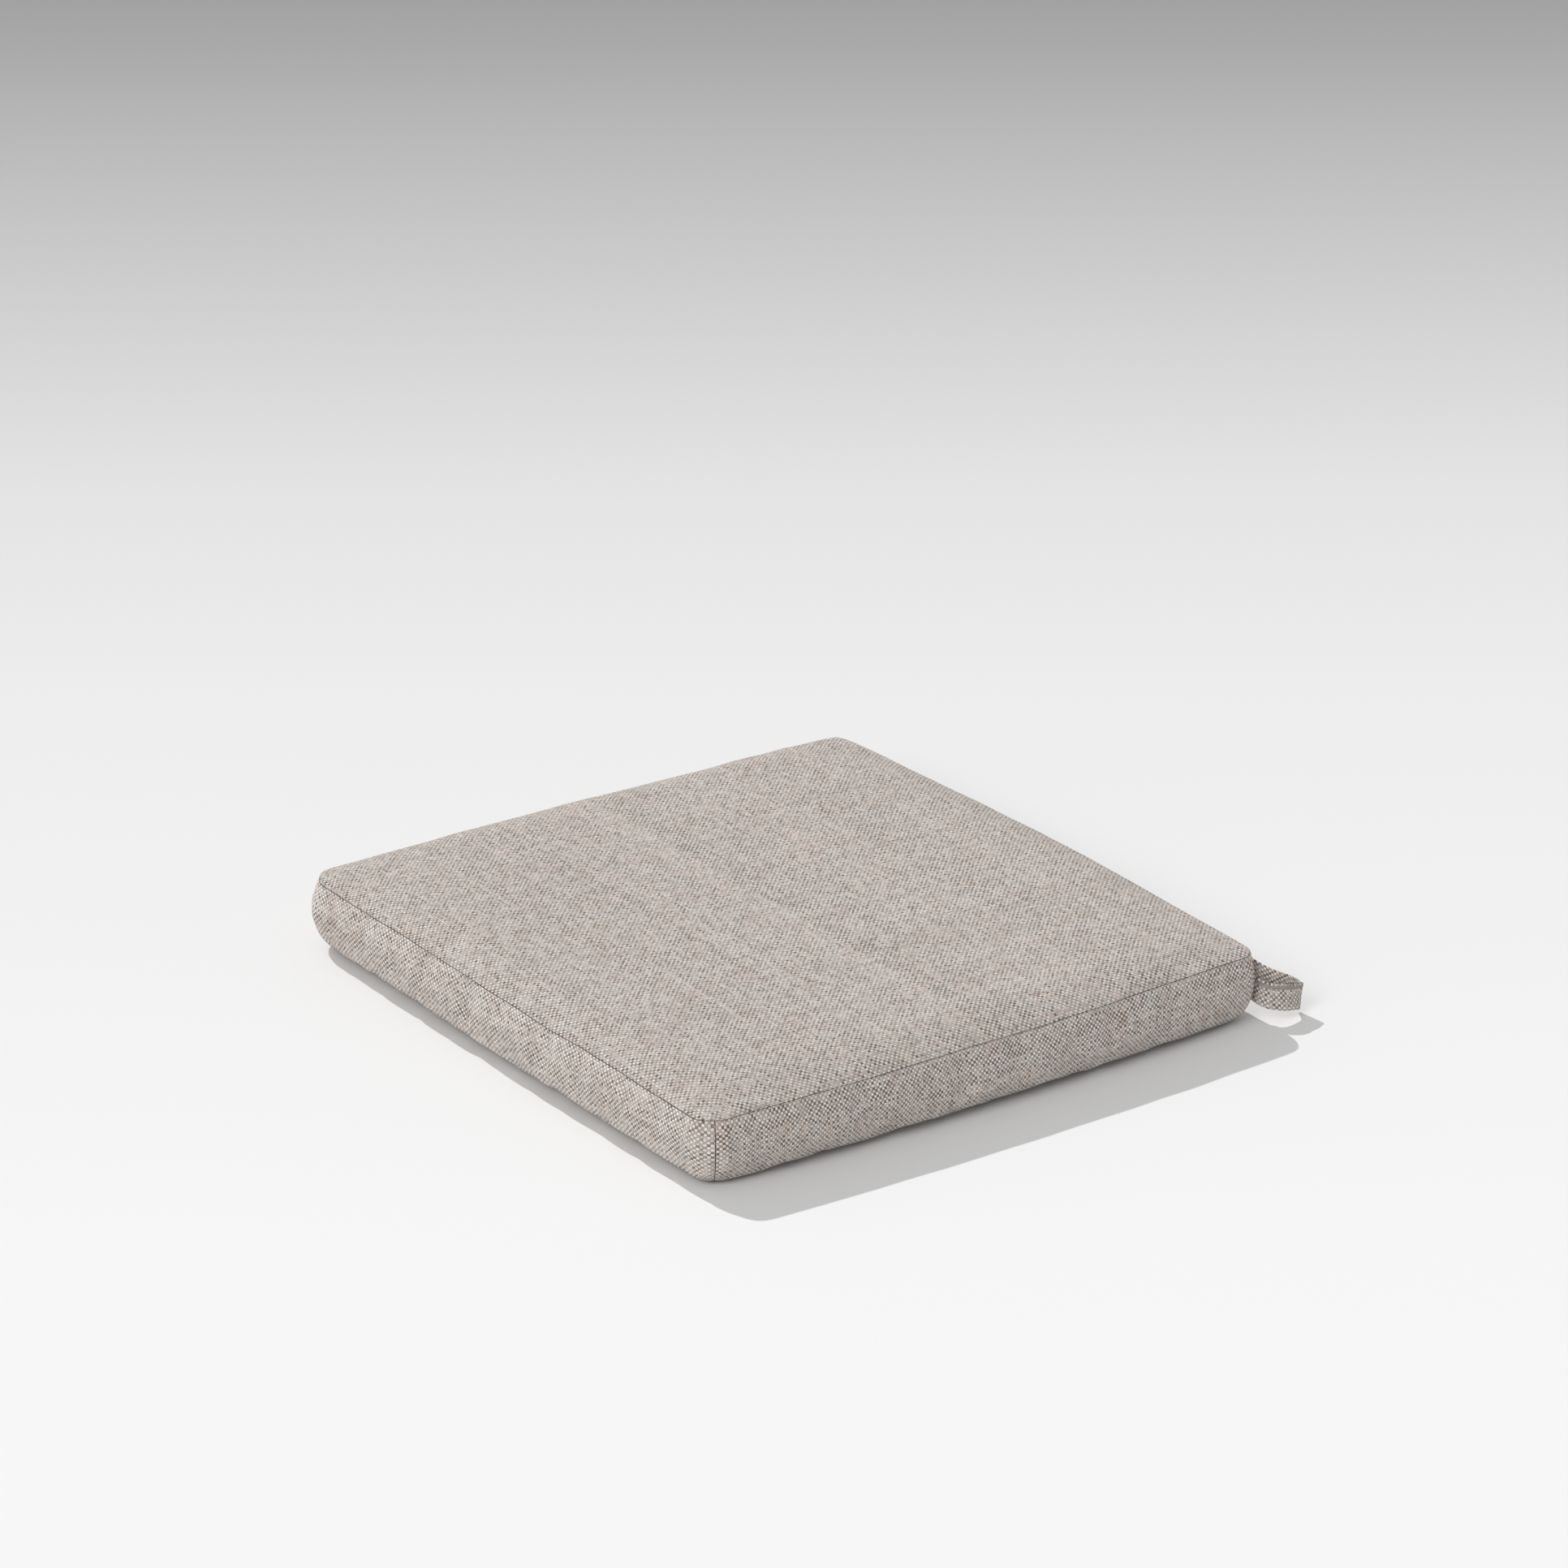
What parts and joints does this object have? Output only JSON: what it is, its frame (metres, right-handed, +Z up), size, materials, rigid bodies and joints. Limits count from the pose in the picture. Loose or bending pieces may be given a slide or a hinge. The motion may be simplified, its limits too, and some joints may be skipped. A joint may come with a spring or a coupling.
{
  "type": "chair seat pad",
  "caption": "Thin box-edge seat pad with a zipped, woven fabric cover over a wadded foam core, and a fabric strap loop at each rear corner to tie it to a chair.",
  "frame": {"origin": "centre of the flat underside, between the two sides and between the front and rear corner seams", "axes": "+X to the pad's right, +Y to its rear (the side with the zip and the strap loops), +Z up"},
  "size_m": [0.4824, 0.4629, 0.0554],
  "materials": {
    "cover": "coarse plain weave of mixed beige and grey yarns, matt",
    "strap": "the cover's cloth, folded double",
    "foam": "open-cell polyurethane foam",
    "wadding": "white polyester wadding",
    "zip_tape": "woven polyester tape",
    "zip_coil": "nylon coil",
    "zip_metal": "satin nickel plate"
  },
  "bodies": {
    "pad": {"top_panel": "cover", "bottom_panel": "cover", "front_boxing": "cover", "right_boxing": "cover", "left_boxing": "cover", "rear_boxing_left": "cover", "rear_boxing_right": "cover", "rear_boxing_lower": "cover", "rear_boxing_upper": "cover", "foam_core": "foam", "wadding_upper": "wadding", "wadding_lower": "wadding", "zip_tape_lower": "zip_tape", "zip_tape_upper": "zip_tape", "zip_coil_lower": "zip_coil", "zip_coil_upper": "zip_coil", "zip_stop_left": "zip_metal", "zip_stop_right": "zip_metal"},
    "zip_slider": {"zip_slider": "zip_metal"},
    "zip_pull_tab": {"zip_pull_tab": "zip_metal"},
    "right_strap": {"right_strap_loop": "strap"},
    "left_strap": {"left_strap_loop": "strap"}
  },
  "joints": [
    {"name": "zip_slide", "type": "slide", "parent": "pad", "child": "zip_slider", "axis": [-1, 0, 0], "range_m": [0, 0.292]},
    {"name": "pull_tab_hinge", "type": "hinge", "parent": "zip_slider", "child": "zip_pull_tab", "pos_m": [0.146, 0.2201, 0.023], "axis": [0, 0, -1], "range_deg": [0, 180]},
    {"name": "right_strap_swing", "type": "hinge", "parent": "pad", "child": "right_strap", "pos_m": [0.212, 0.219, 0.02], "axis": [0, 0, 1], "range_deg": [0, 100]},
    {"name": "left_strap_swing", "type": "hinge", "parent": "pad", "child": "left_strap", "pos_m": [-0.212, 0.219, 0.02], "axis": [0, 0, -1], "range_deg": [0, 100]}
  ]
}
